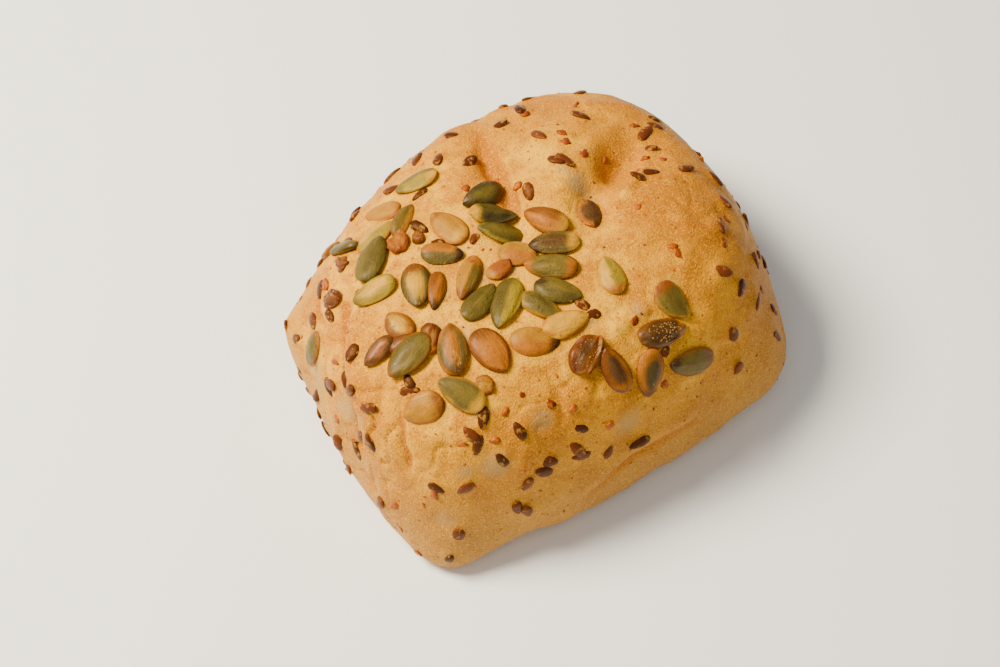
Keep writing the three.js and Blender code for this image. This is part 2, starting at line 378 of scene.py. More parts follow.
def tones_of(look):
    """Turns a seed's words into its skin colour and a list of (colour, place) that lie over it."""
    skin, *over = [words.split() for words in look.split(",")]
    return linear(TONES[skin[0]]), [(linear(TONES[tone]), PLACES[where]) for tone, where in over]


def tone_at(tones, x, y, wobble):
    colour = np.array(tones[0])
    for above, place in tones[1]:
        colour += place(x, y) * (np.array(above) - colour)
    return tuple(colour[:3] * (1 + 0.25 * wobble)) + (1.0,)


# %% [markdown]
# ## Seed skins
# The skin of a hulled pumpkin seed is a thin olive membrane with fine lines along it. In the oven it
# yellows at the rim and browns at the point, and flakes off in patches. One recipe makes all seven
# finishes, because they are the same skin baked for longer or rubbed away: the seed's own colours,
# lines along it, small dark specks, flakes of pale skin, and the soft shine of the oil that it sweats.

# %% Recipe for seed skins
# How finely the lines are drawn along a seed, across it, and from seed to seed.
LINE_STRETCH = (1.1, 12.0, 1.0)


def seed_skin(name, line, speck, flake, flaked, roughness, coat):
    """line, speck and flake are sRGB hex values, and flaked is the share of the seed with loose flakes."""
    material, tree, shader = new_material(name)
    grain = add_node(tree, "ShaderNodeAttribute", attribute_name="grain").outputs["Vector"]
    tone = add_node(tree, "ShaderNodeAttribute", attribute_name="tone").outputs["Color"]
    place = add_node(tree, "ShaderNodeTexCoord").outputs["Object"]
    drawn_out = add_node(tree, "ShaderNodeVectorMath", {0: grain, 1: LINE_STRETCH}, operation="MULTIPLY")
    lines = add_node(
        tree,
        "ShaderNodeTexNoise",
        {"Vector": drawn_out.outputs["Vector"], "Scale": 1.0, "Detail": 3.0, "Roughness": 0.6},
    ).outputs["Fac"]
    fine = noise_at(tree, place, 0.6, 3.0)
    cloud = noise_at(tree, place, 2.2, 2.0)
    colour = thin_coat(tree, tone, between(tree, lines, 0.45, 0.8), 0.28, line)
    shade = between(tree, cloud, 0.25, 0.75)
    colour = thin_coat(tree, colour, shade, 0.3, speck)
    specks = between(tree, noise_at(tree, place, 0.8, 1.0), 0.66, 0.74)
    colour = thin_coat(tree, colour, specks, 0.65, speck)
    frayed = calculate(tree, "MULTIPLY", fine, 0.1)
    loose = calculate(tree, "ADD", noise_at(tree, place, 2.4, 4.0, 0.7), frayed)
    worn = between(tree, loose, 0.8 - 0.3 * flaked, 0.82 - 0.3 * flaked)
    colour = thin_coat(tree, colour, worn, 0.7, flake)
    tree.links.new(colour, shader.inputs["Base Color"])
    sheen = add_node(
        tree,
        "ShaderNodeMapRange",
        {"Value": fine, "To Min": roughness - 0.04, "To Max": roughness + 0.22},
    )
    tree.links.new(sheen.outputs["Result"], shader.inputs["Roughness"])
    shader.inputs["IOR"].default_value = 1.45
    shader.inputs["Specular IOR Level"].default_value = 0.35
    shader.inputs["Specular Tint"].default_value = linear("#ffd8a0")
    shader.inputs["Coat Weight"].default_value = coat
    shader.inputs["Coat Roughness"].default_value = 0.3
    shader.inputs["Subsurface Weight"].default_value = 0.1
    shader.inputs["Subsurface Radius"].default_value = (1.0, 0.6, 0.25)
    shader.inputs["Subsurface Scale"].default_value = 0.6 * MM
    lifted = bump(tree, lines, 0.16)
    lifted = bump(tree, worn, 0.06, lifted)
    lifted = bump(tree, fine, 0.16, lifted)
    tree.links.new(lifted, shader.inputs["Normal"])
    return material


# %% The seven skins
SEED_SKINS = {
    "green": seed_skin("toasted_green_seed_skin", "#7e6c1e", "#2c220a", "#a87c20", 0.1, 0.4, 0.12),
    "dark_green": seed_skin("dark_green_seed_skin", "#5e4e18", "#20160a", "#98701c", 0.1, 0.32, 0.25),
    "pale_green": seed_skin("pale_green_seed_skin", "#b48e20", "#6a5418", "#cc9a24", 0.15, 0.42, 0.08),
    "kernel": seed_skin("bare_cream_kernel", "#c08414", "#945a14", "#cc921a", 0.2, 0.48, 0.05),
    "patched": seed_skin("rubbed_seed_skin", "#966a20", "#2e1e0c", "#b0761a", 0.4, 0.42, 0.12),
    "toasted": seed_skin("toasted_orange_kernel", "#a86408", "#5a2c0a", "#b07008", 0.2, 0.42, 0.1),
    "brown": seed_skin("roasted_brown_seed", "#7c4418", "#2a1409", "#94682e", 0.2, 0.32, 0.25),
}
print("seed skins:", len(SEED_SKINS))

# %% [markdown]
# A few seeds have a shape of their own. Some curled as they dried, some broke when the roll was
# handled, and a few wrinkled. They are named here, and every other seed gets a slight bend by chance.

# %% Make the seeds
SEED_HABITS = {
    "dark_green_seed_13": dict(bend=-0.6, curl=0.3),
    "dark_green_seed_14": dict(bend=0.3, curl=1.3, lumps=0.3),
    "green_seed_02": dict(bend=-0.5),
    "toasted_seed_36": dict(broken=0.08, curl=0.4),
    "toasted_seed_38": dict(lumps=0.45),
    "toasted_seed_39": dict(lumps=0.35, curl=0.5),
    "toasted_seed_40": dict(broken=0.15, lumps=0.3),
    "brown_seed_43": dict(curl=0.7, bend=0.4, lumps=0.4),
    "brown_seed_44": dict(lumps=0.3, bend=-0.3),
    "brown_seed_45": dict(bend=0.8, curl=0.6),
    "brown_seed_48": dict(lumps=0.2),
    "brown_seed_49": dict(curl=0.6, lumps=0.3),
    "brown_seed_50": dict(lumps=0.6, curl=0.4),
}
pumpkin_seeds = []
seed_places = {}
for node in seed_nodes:
    kind = node.split("_seed_")[0]
    chance = random.Random(node)
    place, half, turn = seed_axes(node)
    half = np.array([half[0], half[1], max(half[2], SEED_THICKNESS / 2)])
    habits = {"bend": chance.uniform(-0.4, 0.5), "curl": chance.uniform(-0.3, 0.3)}
    habits.update(SEED_HABITS.get(node, {}))
    tones = tones_of(SEED_LOOKS[int(node[-2:])])
    seed_places[node] = (place, half, turn)
    bm = bmesh.new()
    seed_shape(bm, place, half, turn, chance, tones, **habits)
    pumpkin_seeds.append(add_piece("baked_" + node, bm, SEED_SKINS[kind], [node]))
print("faces on one pumpkin seed:", len(pumpkin_seeds[0].data.polygons))

# %% [markdown]
# ## The crust
# The crust is a skin that stretched over rising dough and set in the oven. The measured roll has its
# form, but in flat facets and with a sharp pocket under each seed. So a fine ball is wrapped on it
# from inside, the pockets are let go slack like dough, the facets are smoothed, and the whole is
# divided evenly again. Smoothing also draws corners in, so what it took away is smoothed in the same
# way and given back. The folds, wrinkles and crumples are then pressed in, as a thumb would.

# %% Wrap a fine skin on the measured roll
POCKET_REACH = 0.7 * MM
SKIN_GRAIN = 0.66 * MM
SLACK_ROUNDS = 60
SMOOTHING_ROUNDS = 26


def joined_surface(meshes):
    bm = bmesh.new()
    for mesh in meshes:
        bm.from_mesh(mesh)
    tree = BVHTree.FromBMesh(bm)
    bm.free()
    return tree


def relax(bm, times, verts=None):
    """Lets each vertex drift towards the middle of its neighbours."""
    for _ in range(times):
        bmesh.ops.smooth_vert(
            bm, verts=verts or bm.verts, factor=0.5, use_axis_x=True, use_axis_y=True, use_axis_z=True
        )


measured_seeds = joined_surface([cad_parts[node].data for node in seed_nodes])
skin = bmesh.new()
bmesh.ops.create_icosphere(skin, subdivisions=7, radius=1.0)
for v in skin.verts:
    v.co = roll_surface.ray_cast(CORE, v.co.normalized())[0]
slack = [v for v in skin.verts if measured_seeds.find_nearest(v.co, POCKET_REACH)[0] is not None]
relax(skin, SLACK_ROUNDS, slack)
wrapped = [v.co.copy() for v in skin.verts]
relax(skin, SMOOTHING_ROUNDS)
smoothed = [v.co.copy() for v in skin.verts]
for v, before, after in zip(skin.verts, wrapped, smoothed):
    v.co = before - after
relax(skin, SMOOTHING_ROUNDS)
for v, after in zip(skin.verts, smoothed):
    v.co += after
print("vertices let go slack over the pockets:", len(slack), "of", len(skin.verts))

# %% Divide it evenly


def evenly_divided(bm, grain):
    """The same shape in even squares, by a voxel remesh."""
    mesh = bpy.data.meshes.new("skin")
    bm.to_mesh(mesh)
    bm.free()
    holder = bpy.data.objects.new("skin", mesh)
    bpy.context.scene.collection.objects.link(holder)
    remesh = holder.modifiers.new("even", "REMESH")
    remesh.mode = "VOXEL"
    remesh.voxel_size = grain
    shaped = holder.evaluated_get(bpy.context.evaluated_depsgraph_get())
    even = bpy.data.meshes.new_from_object(shaped)
    bpy.data.objects.remove(holder)
    return even


crust_mesh = evenly_divided(skin, SKIN_GRAIN)
print("squares in the crust:", len(crust_mesh.polygons))


# %% [markdown]
# The marks in the crust are lines and spots of aims. A fold is where two lobes of dough met as they
# rose, and a wrinkle is where the skin slipped as the roll settled. Crumpled places are patches of
# small valleys, where the skin had room to shrink, and a seed baked under the skin is a low ridge.

# %% Marks in the crust
# Each line is (aims along it, depth in mm, width in mm). A negative depth stands up as a ridge.
FOLDS = [
    ([(12, 60), (8, 48), (7, 38), (6, 28), (3, 19)], 1.5, 2.2),
    ([(9, 55), (7, 45), (6, 35), (3, 22)], 0.8, 0.9),
    ([(15, 46), (13, 36), (11, 27), (7, 13)], -0.9, 1.1),
    ([(60, 23), (55, 20), (49, 15), (42, 10), (34, 1)], 0.5, 2.0),
    ([(62, 20), (56, 10), (48, 4), (40, -3)], -1.1, 1.2),
    ([(-66, 22), (-71, 6), (-76, -3), (-80, -12), (-88, -26)], 2.2, 1.3),
    ([(-63, 16), (-67, 3), (-72, -7), (-76, -18)], -1.4, 2.4),
    ([(-64, -28), (-66, -32), (-69, -36), (-70, -40), (-74, -43)], 1.0, 1.0),
    ([(-70, -26), (-72, -32), (-76, -37)], -0.9, 2.0),
    ([(-70, 36), (-74, 28), (-74, 18)], 0.9, 1.1),
    ([(-30, -100), (-8, -99), (12, -97), (30, -93), (48, -86)], 0.8, 2.2),
    ([(-22, -95), (4, -93), (26, -89), (46, -80)], -0.6, 2.6),
]
WRINKLES = [
    ([(28, -12), (30, -20), (36, -24)], 0.5, 0.9),
    ([(2, -52), (12, -50), (24, -49), (34, -44)], -0.8, 2.0),
    ([(-14, -56), (-4, -60), (-6, -68)], 0.6, 1.0),
    ([(-18, -57), (-12, -64)], 0.5, 0.9),
    ([(-22, -50), (-20, -60), (-24, -68)], 0.5, 1.2),
    ([(-12, 52), (-14, 46), (-10, 42)], 0.6, 1.0),
    ([(-18, 48), (-20, 43)], 0.5, 0.8),
    ([(44, -10), (50, -14), (52, -20)], 0.5, 1.0),
    ([(-62, -14), (-66, -20), (-70, -24)], 0.7, 1.4),
    ([(-66, -8), (-70, -12), (-74, -20)], -0.6, 2.0),
    ([(-54, -38), (-58, -46), (-66, -54)], 0.5, 1.8),
    ([(54, 36), (44, 34), (36, 30)], 0.5, 1.4),
    ([(-84, 12), (-86, 4), (-90, -2)], 0.9, 1.4),
    ([(-92, 24), (-94, 14), (-98, 6)], 0.9, 1.6),
    ([(-88, -34), (-92, -44), (-90, -56)], 0.6, 1.6),
    ([(64, 8), (70, 0), (76, -10)], 0.5, 1.6),
    ([(40, -62), (52, -62), (62, -58)], 0.5, 1.8),
    ([(6, -70), (20, -74), (32, -70)], 0.5, 1.6),
    ([(76, -36), (82, -44), (86, -52)], 0.5, 2.0),
]
# Where the skin crumpled as the roll settled: (aim, radius in mm, depth in mm).
CRUMPLED_PLACES = [
    ((-68, 4), 11, 1.2), ((-74, -22), 11, 1.3), ((-62, -42), 9, 0.6), ((-84, 20), 10, 1.0),
    ((-30, -60), 8, 0.45), ((-12, -58), 8, 0.5), ((-20, 44), 9, 0.5), ((20, -52), 8, 0.5),
    ((56, -12), 10, 0.35), ((36, -66), 12, 0.4), ((-88, -30), 12, 1.0), ((-10, 96), 14, 0.5),
    ((70, 60), 16, 0.4),
]
# How far, in mm, the dough sank under the weight of each pumpkin seed on it.
SEED_SINK = 0.3
# Near a pumpkin seed the dough lies level: how far that reaches in mm, and how much it calms swelling.
LEVEL_REACH = 2.5
LEVELLING = 0.8
# The marks run out in a band of this height above the base, so that it stays flat.
BASE_BAND = 3 * MM
# A point of the crust further than this from a seed counts as this far.
FAR = 8 * MM
# Pumpkin seeds baked under the skin: (aim of one end, aim of the other).
BURIED_SEEDS = [
    ((50, 44), (60, 37)),
    ((24, 65), (31, 59)),
    ((3, 66), (11, 64)),
    ((52, -18), (57, -23)),
    ((-44, -70), (-38, -66)),
]
BURIED_RISE = 0.9
BURIED_TINT = 0.55
# How much the crumpled valleys are darkened in the material, as painted shade.
CRUMPLE_SHADE = 0.6
print("folds:", len(FOLDS), "wrinkles:", len(WRINKLES), "crumpled places:", len(CRUMPLED_PLACES))

# %% Helpers for marks


def along_line(points, aims):
    """Distance of each point from a line of aims in metres, and how far along it is from 0 to 1."""
    stops = [np.array(at_aim(roll_surface, *aim)[0]) for aim in aims]
    nearest = np.full(len(points), np.inf)
    progress = np.zeros(len(points))
    for number, (start, end) in enumerate(zip(stops, stops[1:])):
        run = end - start
        share = np.clip(((points - start) @ run) / (run @ run), 0, 1)
        distance = np.linalg.norm(points - start - share[:, None] * run, axis=1)
        progress = np.where(distance < nearest, (number + share) / (len(stops) - 1), progress)
        nearest = np.minimum(nearest, distance)
    return nearest, progress


def fade(distance, reach_mm):
    return np.exp(-((distance / (reach_mm * MM)) ** 2))


def crease(points, aims, depth, width):
    """A mark along a line of aims that runs out at both ends, with its depth and width in mm."""
    distance, progress = along_line(points, aims)
    return depth * fade(distance, width) * np.sqrt(np.clip(4 * progress * (1 - progress), 0, 1))


def patches(points, places):
    share = np.zeros(len(points))
    for aim, radius, strength in places:
        centre = np.array(at_aim(roll_surface, *aim)[0])
        share = np.maximum(share, strength * fade(np.linalg.norm(points - centre, axis=1), radius))
    return share


def read_points(mesh):
    points = np.empty(len(mesh.vertices) * 3)
    mesh.vertices.foreach_get("co", points)
    return points.reshape(-1, 3)


def read_normals(mesh):
    normals = np.empty(len(mesh.vertices) * 3)
    mesh.vertex_normals.foreach_get("vector", normals)
    return normals.reshape(-1, 3)


def dough_noise(points, size_mm, seed):
    shift = Vector((seed * 7.3, seed * 3.1, seed * 5.7))
    scale = 1 / (size_mm * MM)
    return np.array([noise.noise(Vector(p) * scale + shift) for p in points])


# %% Press the marks in
points = read_points(crust_mesh)
normals = read_normals(crust_mesh)
above_base = np.clip(points[:, 2] / BASE_BAND, 0, 1)
# fold_depth darkens the crust: painted shade in folds and crumple valleys, own tint over buried seeds.
fold_depth = np.zeros(len(points))
press = np.zeros(len(points))
for aims, depth, width in FOLDS:
    mark = crease(points, aims, depth, width)
    press += mark
    fold_depth += np.clip(mark, 0, None)
for aims, depth, width in WRINKLES:
    press += crease(points, aims, depth, width)
for start, end in BURIED_SEEDS:
    to_buried = along_line(points, (start, end))[0]
    press -= BURIED_RISE * fade(to_buried, 3.0)
    fold_depth += BURIED_TINT * fade(to_buried, 1.8)
# A crumple is a narrow valley, so it runs where a noise crosses zero.
valleys = np.clip(1 - 7 * np.abs(dough_noise(points, 7.5, 7)), 0, 1) ** 1.5
crumples = valleys * patches(points, CRUMPLED_PLACES)
press += crumples
fold_depth += CRUMPLE_SHADE * crumples
to_pocket = np.array([measured_seeds.find_nearest(Vector(p), FAR)[3] or FAR for p in points])
level = fade(to_pocket, LEVEL_REACH)
# How far the dough swells by chance: (mm, size of a swelling in mm).
SWELLINGS = [(0.8, 17), (0.42, 7), (0.13, 2.6)]
swell = sum(rise * dough_noise(points, size, seed) for seed, (rise, size) in enumerate(SWELLINGS, 1))
press = (press - swell) * (1 - LEVELLING * level) + SEED_SINK * level
print("deepest press into the crust, mm:", round(float(press.max()), 2))

# %% [markdown]
# ## Flax seeds and flakes in the dough
# Flax seeds are shiny brown drops about 5 mm long. Kneaded in, most stay under the skin of the
# dough and lift it in a low bump, and the crust has baked thin or split over their backs.
# Each drop is a ball of few faces, drawn to a point and joined to the others in one mesh, because
# there are over a hundred. Those on the crown and front are placed one by one, and the rest by chance.

# %% Where the flax seeds are
FLAX_AIMS = [
    (3, 61), (1, 50), (-8, 55), (-24, 46), (20, 56), (30, 57), (37, 63), (29, 42), (29, 28), (32, 26),
    (51, 53), (45, 41), (65, 29), (64, 26), (61, 25), (61, 20), (52, 7), (56, 8), (14, 24), (-19, 18),
    (-34, 22), (-34, 32), (7, -43), (5, -38), (55, -37), (73, -31), (61, -42), (69, -45), (55, -57),
    (59, -68), (77, -54), (27, -60), (8, -91), (-8, -88), (-18, -73), (-22, -79), (-21, -83),
    (-37, -77), (-34, -75), (-45, -76), (-51, -80), (-49, -84), (-47, -62), (-38, -59), (-46, -48),
    (-51, -49), (-51, -53), (-61, -60), (-71, -69), (-77, -71), (-71, -20), (-78, -27), (-81, -22),
    (-96, -12), (-91, -22), (-59, -23), (-60, -26), (-67, -3), (-84, 2), (-87, 4), (-83, 42),
    (-90, -41), (-68, -53), (-71, 21),
]
FLAKE_AIMS = [
    (-33, -52), (-25, -60), (-18, -66), (60, 17), (59, 29), (37, 38), (36, 34), (46, -6), (46, -26),
    (46, -29), (60, -27), (20, -50), (-55, -49), (-46, -56), (-70, -54), (-88, -52), (-84, -46),
    (-87, -62), (-86, -70), (62, 12), (58, 14), (8, 44), (12, 30), (40, 26), (-5, -79), (24, -72),
    (-40, -52), (50, 24), (66, -18), (-8, 40),
]


def scattered_aims(count, apart, taken, chance):
    """More aims by chance on the back and the sides, each so many degrees from the last ones."""
    kept = []
    while len(kept) < count:
        tilt, bearing = chance.uniform(60, 112), chance.uniform(-math.pi, math.pi)
        aim = (tilt * math.cos(bearing), tilt * math.sin(bearing))
        seen_side = math.radians(-165) < bearing < math.radians(-40) or tilt < 62
        if not seen_side and all(math.dist(aim, other) > apart for other in taken + kept):
            kept.append(aim)
    return kept


chance = random.Random(41)
flax_aims = FLAX_AIMS + scattered_aims(70, 8, FLAX_AIMS, chance)
flake_aims = FLAKE_AIMS + scattered_aims(50, 7, FLAKE_AIMS, chance)
BRAN_COUNT = 240
BRAN_TILT = 105
bran_aims = []
while len(bran_aims) < BRAN_COUNT:
    aim = (chance.uniform(-BRAN_TILT, BRAN_TILT), chance.uniform(-BRAN_TILT, BRAN_TILT))
    if math.hypot(*aim) < BRAN_TILT:
        bran_aims.append(aim)
print("flax seeds:", len(flax_aims), "flakes:", len(flake_aims), "specks of bran:", len(bran_aims))

# %% Bumps over the flax seeds
FLAX_BUMP = 0.5
FLAX_BUMP_REACH = 2.4
flax_tree = KDTree(len(flax_aims))
for number, aim in enumerate(flax_aims):
    flax_tree.insert(at_aim(roll_surface, *aim)[0], number)
flax_tree.balance()
to_flax = np.array([flax_tree.find(Vector(p))[2] for p in points])
press -= FLAX_BUMP * fade(to_flax, FLAX_BUMP_REACH)
points = points - normals * (press * above_base * MM)[:, None]
crust_mesh.vertices.foreach_set("co", points.ravel())
crust_mesh.update()
crust_surface = BVHTree.FromPolygons(points.tolist(), [tuple(p.vertices) for p in crust_mesh.polygons])
print("lowest point of the crust, mm:", round(float(points[:, 2].min()) / MM, 3))

# %% [markdown]
# ## Where the crust meets its seeds
# Dough creeps up round a seed and sticks to it. The skin round the seed stays pale, and a painted
# contact shadow darkens it right at the edge. The distance from every point of the crust to the
# nearest seed gives all three: a small rim of dough, and two shares for the material to tint by.

# %% Rim of dough round each seed
RIM_HEIGHT = 0.3
RIM_START = 0.3 * MM
RIM_REACH = 0.8
seed_surface = joined_surface([piece.data for piece in pumpkin_seeds])
to_seed = np.array([seed_surface.find_nearest(Vector(p), FAR)[3] or FAR for p in points])
normals = read_normals(crust_mesh)
points = points + normals * (RIM_HEIGHT * MM * fade(to_seed - RIM_START, RIM_REACH) * above_base)[:, None]
crust_mesh.vertices.foreach_set("co", points.ravel())
print("points of crust within 1 mm of a seed:", int((to_seed < MM).sum()))

# %% Shares that the crust's material reads
# (aim, radius in mm, strength): where flour or a thin skin leaves the crust pale.
PALE_REACH = 4.5
PALE_PLACES = [
    ((-30, 4), 22, 0.75), ((-8, -22), 16, 0.6), ((27, 33), 11, 0.9), ((10, -46), 13, 0.8),
    ((22, -30), 10, 0.55), ((-44, -36), 14, 0.5), ((-20, 42), 12, 0.55), ((-72, -36), 12, 0.6),
    ((-88, 8), 14, 0.6), ((36, 16), 7, 0.6), ((-60, -40), 14, 0.4), ((2, -64), 12, 0.4),
    ((57, 12), 3, 0.8), ((52, 7), 3, 0.8), ((46, 2), 3, 0.8), ((14, 42), 2.5, 0.8),
    ((12, 32), 2.5, 0.8), ((9, 20), 2.5, 0.8),
]
# The same for places that browned most, because they stood nearest the heat. On the right cheek
# and the lower right side their darker colour is also painted shade.
GOLDEN_AND_SHADED_PLACES = [
    ((56, -8), 20, 0.8), ((50, 30), 14, 0.55), ((4, 60), 16, 0.5), ((-60, 30), 10, 0.3),
    ((-66, 0), 9, 0.6), ((-73, -17), 7, 0.5), ((-68, -35), 6, 0.4), ((44, -38), 12, 0.5),
    ((-80, -66), 12, 0.5), ((-6, 46), 8, 0.3), ((84, -34), 16, 1.0), ((70, -60), 12, 0.6),
]
# The same for greyish places where flour stayed damp in a hollow.
FLOURY_PLACES = [
    ((34, 17), 4, 1.1), ((30, 23), 2.5, 0.9), ((38, 12), 2.5, 0.9), ((-24, 24), 3, 0.9),
    ((-46, 0), 4, 1.1), ((-30, -2), 4, 0.9), ((-50, -14), 3, 1.0), ((-44, -24), 4, 1.1),
    ((4, -44), 3, 0.9), ((-32, 16), 4, 1.0), ((40, -40), 3, 0.8), ((-50, -62), 5, 1.0),
    ((-30, -62), 4, 0.9), ((-90, 14), 7, 0.9), ((-84, -10), 5, 1.0), ((-14, -4), 4, 0.9),
    ((-40, 34), 3, 0.9), ((-78, -18), 3, 1.0), ((-72, -62), 4, 0.8), ((4, -82), 5, 0.9),
    ((-46, -46), 3, 1.0), ((-58, -56), 3, 0.9), ((24, -46), 3, 0.8),
]


def add_share(mesh, name, values):
    mesh.attributes.new(name, "FLOAT", "POINT").data.foreach_set("value", values.astype(np.float32))


pale = np.maximum(patches(points, PALE_PLACES), 0.7 * fade(to_seed, PALE_REACH))
pale *= 0.85 + 0.7 * dough_noise(points, 6, 5)
add_share(crust_mesh, "pale", pale)
add_share(crust_mesh, "smudge", patches(points, FLOURY_PLACES))
add_share(crust_mesh, "golden", patches(points, GOLDEN_AND_SHADED_PLACES))
# The fold share: orange tone with painted shade in folds and crumples, and buried seeds' tint.
add_share(crust_mesh, "fold", np.clip(fold_depth, 0, 1))
# A painted contact shadow round each pumpkin seed.
add_share(crust_mesh, "seed_contact_shade", fade(to_seed, 0.9))
add_share(crust_mesh, "by_flax", fade(to_flax, 2.2))
print("share of the crust that is pale:", round(float((pale > 0.3).mean()), 2))

# %% [markdown]
# ## Baked crust
# Crust is starch that gelled and browned, under a dry film with a soft satin shine. Its colour
# follows how hot each place became: pale where flour kept it dull, orange in the folds where
# the skin is thin and damp, deep gold on the cheeks. Painted shade darkens the folds, the crumpled
# valleys, the lower walls, the right cheek, the lower right side and a thin ring round each seed.
# Steam left a very fine grain of tiny blisters.
# The grain is about 0.4 mm across, too fine for the mesh, so the material carries it.

# %% The crust's material


def baked_crust():
    material, tree, shader = new_material("baked_wheat_crust")
    place = add_node(tree, "ShaderNodeTexCoord").outputs["Object"]
    pale, golden, fold, seed_contact_shade, by_flax, smudge = (
        add_node(tree, "ShaderNodeAttribute", attribute_name=name).outputs["Fac"]
        for name in ("pale", "golden", "fold", "seed_contact_shade", "by_flax", "smudge")
    )
    broad = noise_at(tree, place, 12, 3.0)
    mottle = noise_at(tree, place, 3.4, 5.0, 0.65)
    grain = noise_at(tree, place, 0.45, 2.0, 0.6)
    dust = noise_at(tree, place, 0.4, 2.0, 0.7)
    swing = calculate(tree, "SUBTRACT", mottle, 0.5)
    height = add_node(tree, "ShaderNodeSeparateXYZ", {"Vector": place}).outputs["Z"]
    # Towards the base the crust turns a darker, greyer tan: painted shade on the lower walls.
    low = calculate(tree, "SUBTRACT", 1.0, between(tree, height, 4 * MM, 36 * MM))
    colour = blend_colour(tree, between(tree, broad, 0.38, 0.62), linear("#d08c04"), linear("#b87204"))
    # Deep gold where browned most; on the right cheek and lower right side it is painted shade too.
    browned_and_shade = calculate(tree, "ADD", golden, calculate(tree, "MULTIPLY", swing, 1.6))
    colour = blend_colour(tree, between(tree, browned_and_shade, 0.1, 0.9), colour, linear("#b06a04"))
    floury = calculate(tree, "ADD", pale, calculate(tree, "MULTIPLY", swing, -1.3))
    colour = blend_colour(tree, between(tree, floury, 0.2, 1.0), colour, linear("#eeae14"))
    colour = thin_coat(tree, colour, low, 0.7, "#aa8048")
    # Orange in folds and crumples, darkened there as painted shade; over buried seeds a real tint.
    fold_tone_and_shade = calculate(tree, "ADD", fold, calculate(tree, "MULTIPLY", swing, 0.3))
    colour = thin_coat(tree, colour, between(tree, fold_tone_and_shade, 0.12, 0.75), 0.9, "#a85e02")
    grain_swing = calculate(tree, "SUBTRACT", grain, 0.5)
    husk = calculate(tree, "ADD", by_flax, calculate(tree, "MULTIPLY", grain_swing, 0.8))
    colour = thin_coat(tree, colour, between(tree, husk, 0.35, 1.1), 0.55, "#74481c")
    # Painted contact shadow, darkest right at the edge of each pumpkin seed.
    colour = thin_coat(tree, colour, seed_contact_shade, 0.4, "#8a5a20")
    colour = thin_coat(tree, colour, between(tree, grain, 0.5, 0.66), 0.5, "#f4b434")
    colour = thin_coat(tree, colour, between(tree, dust, 0.54, 0.66), 0.65, "#8c5008")
    blush = between(tree, noise_at(tree, place, 1.7, 3.0, 0.6), 0.56, 0.7)
    colour = thin_coat(tree, colour, blush, 0.45, "#b26608")
    dust_swing = calculate(tree, "SUBTRACT", dust, 0.5)
    damp_flour = calculate(tree, "ADD", smudge, calculate(tree, "MULTIPLY", dust_swing, 1.2))
    colour = thin_coat(tree, colour, between(tree, damp_flour, 0.3, 1.1), 0.7, "#a88c5c")
    freckles = add_node(
        tree,
        "ShaderNodeTexVoronoi",
        {"Vector": place, "Scale": 1 / (3.2 * MM), "Randomness": 1.0},
    )
    spot = calculate(tree, "SUBTRACT", 1.0, between(tree, freckles.outputs["Distance"], 0.07, 0.18))
    colour = thin_coat(tree, colour, spot, 0.65, "#8a3f0a")
    tree.links.new(colour, shader.inputs["Base Color"])
    shine = add_node(tree, "ShaderNodeMapRange", {"Value": mottle, "To Min": 0.46, "To Max": 0.7})
    tree.links.new(shine.outputs["Result"], shader.inputs["Roughness"])
    shader.inputs["IOR"].default_value = 1.45
    shader.inputs["Specular IOR Level"].default_value = 0.3
    shader.inputs["Specular Tint"].default_value = linear("#ffc878")
    shader.inputs["Subsurface Weight"].default_value = 0.08
    shader.inputs["Subsurface Radius"].default_value = (1.0, 0.6, 0.2)
    shader.inputs["Subsurface Scale"].default_value = 1.0 * MM
    skin_bump = bump(tree, mottle, 0.34)
    skin_bump = bump(tree, grain, 0.26, skin_bump)
    skin_bump = bump(tree, dust, 0.08, skin_bump)
    tree.links.new(skin_bump, shader.inputs["Normal"])
    return material


# %% Finish the crust
crust_mesh.materials.append(baked_crust())
crust_mesh.shade_smooth()
crust = bpy.data.objects.new("baked_crust", crust_mesh)
bpy.context.scene.collection.objects.link(crust)
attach(crust, "root")
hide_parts("roll")
print("triangles in the crust:", sum(len(p.vertices) - 2 for p in crust_mesh.polygons))

# %% [markdown]
# ## Small seeds and flakes, made
# A flax seed's glossy hull shows through a torn film of dough, so it is mottled dark and light.
# The flakes are dried red pepper: flat, angular, and a little sticky where they baked.

# %% Flax hull and pepper flake


def flax_hull():
    material, tree, shader = new_material("baked_flax_hull")
    place = add_node(tree, "ShaderNodeTexCoord").outputs["Object"]
    tint = add_node(tree, "ShaderNodeAttribute", attribute_name="tint").outputs["Fac"]
    colour = blend_colour(tree, tint, linear("#3a190c"), linear("#642f16"))
    film = between(tree, noise_at(tree, place, 1.5, 3.0, 0.6), 0.54, 0.66)
    colour = thin_coat(tree, colour, film, 0.6, "#b07c30")
    tree.links.new(colour, shader.inputs["Base Color"])
    shader.inputs["Roughness"].default_value = 0.44
    shader.inputs["Specular IOR Level"].default_value = 0.25
    shader.inputs["Specular Tint"].default_value = linear("#ffc878")
    shader.inputs["IOR"].default_value = 1.47
    lifted = bump(tree, film, 0.12)
    lifted = bump(tree, noise_at(tree, place, 0.5, 2.0), 0.06, lifted)
    tree.links.new(lifted, shader.inputs["Normal"])
    return material


def pepper_flake():
    material, tree, shader = new_material("dried_pepper_flake")
    place = add_node(tree, "ShaderNodeTexCoord").outputs["Object"]
    tint = add_node(tree, "ShaderNodeAttribute", attribute_name="tint").outputs["Fac"]
    colour = blend_colour(tree, tint, linear("#6e2206"), linear("#a04608"))
    film = between(tree, noise_at(tree, place, 0.8, 2.0), 0.45, 0.7)
    colour = thin_coat(tree, colour, film, 0.3, "#c87c08")
    tree.links.new(colour, shader.inputs["Base Color"])
    shader.inputs["Roughness"].default_value = 0.42
    shader.inputs["Specular Tint"].default_value = linear("#ffc878")
    tree.links.new(bump(tree, noise_at(tree, place, 0.5, 2.0), 0.15), shader.inputs["Normal"])
    return material


# %% Small things set in the crust


